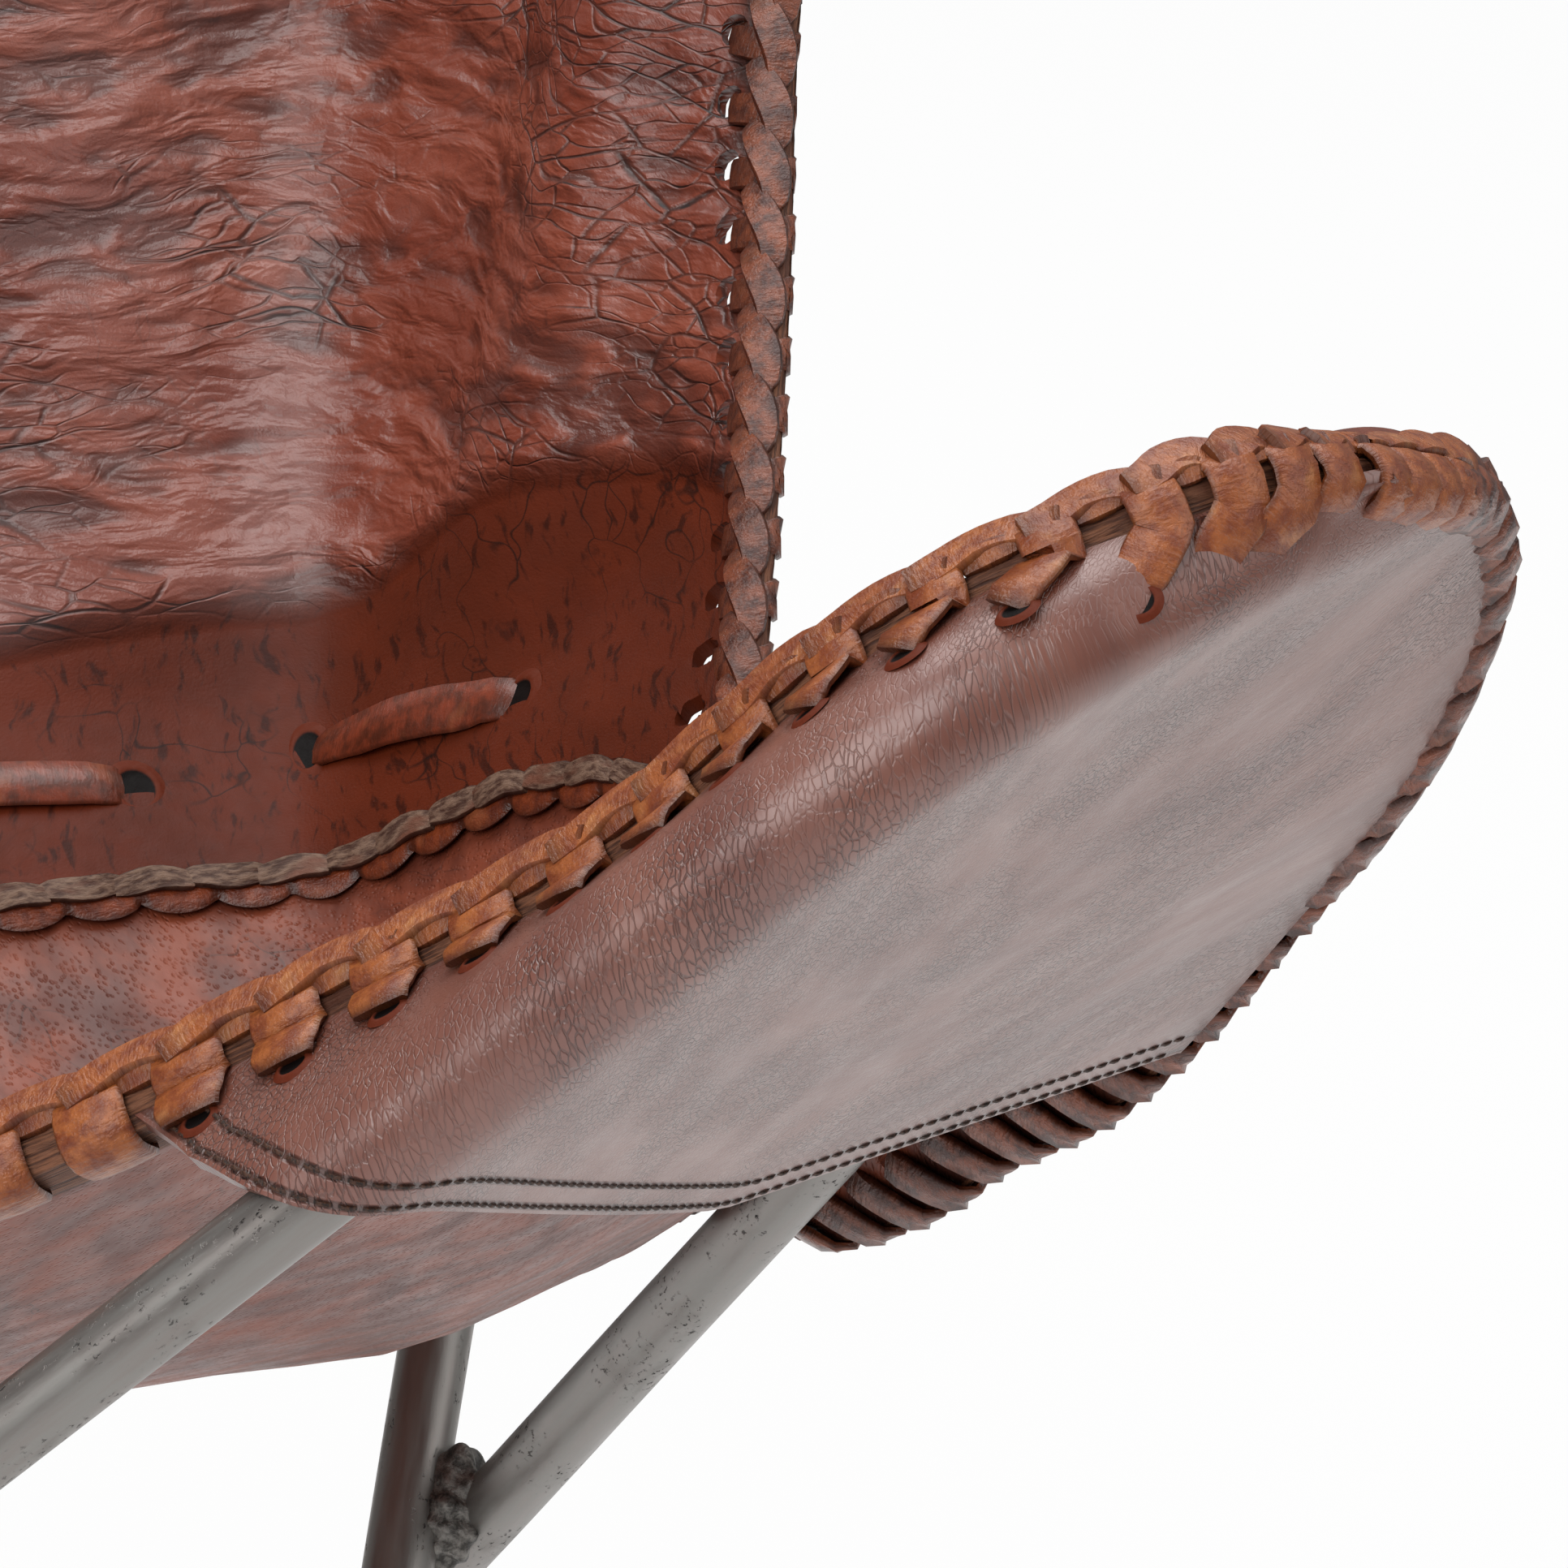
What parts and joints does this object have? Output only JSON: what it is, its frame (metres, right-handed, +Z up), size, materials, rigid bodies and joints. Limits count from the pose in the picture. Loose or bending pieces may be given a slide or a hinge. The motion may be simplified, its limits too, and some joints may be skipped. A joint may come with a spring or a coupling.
{
  "type": "butterfly sling chair",
  "caption": "Lounge chair with a laced leather sling hung over the four horns of a welded, crossed steel rod frame.",
  "frame": {"origin": "on the floor under the middle of the chair's bounding box", "axes": "+Z up, the sitter faces -Y, +X to the right as seen from the front; the chair is symmetric across the plane x = 0 but for the two rods of each crossing"},
  "size_m": [0.9428, 0.8658, 0.8752],
  "materials": {
    "steel": "raw grey rod with fine dark pits",
    "weld": "dull weld",
    "leather": "reddish brown saddle leather, worn, waxy sheen",
    "pocket_leather": "brown leather with a pale worn bloom",
    "lace": "light tan lacing",
    "side_lace": "dark brown lacing",
    "braid": "dry grey brown braid",
    "thread": "dark waxed thread"
  },
  "bodies": {
    "root": {"front_horn_bend_right": "steel", "front_horn_bend_left": "steel", "back_horn_bend_right": "steel", "back_horn_bend_left": "steel", "front_foot_bend_right": "steel", "front_foot_bend_left": "steel", "back_foot_bend_right": "steel", "back_foot_bend_left": "steel", "front_rod_right": "steel", "front_rod_left": "steel", "back_rod_right": "steel", "back_rod_left": "steel", "right_rod_front_horn": "steel", "right_rod_back_horn": "steel", "left_rod_front_horn": "steel", "left_rod_back_horn": "steel", "front_crossing_weld": "weld", "back_crossing_weld": "weld", "right_crossing_weld": "weld", "left_crossing_weld": "weld", "seat_panel": "leather", "back_panel": "leather", "front_pocket_right": "pocket_leather", "front_pocket_left": "pocket_leather", "back_pocket_right": "pocket_leather", "back_pocket_left": "pocket_leather", "front_pocket_thread_right": "thread", "front_pocket_thread_left": "thread", "back_pocket_thread_right": "thread", "back_pocket_thread_left": "thread", "front_edge_lace": "lace", "top_edge_lace": "lace", "right_edge_lace": "side_lace", "left_edge_lace": "side_lace", "seam_lace": "braid", "running_lace": "lace"}
  },
  "joints": []
}
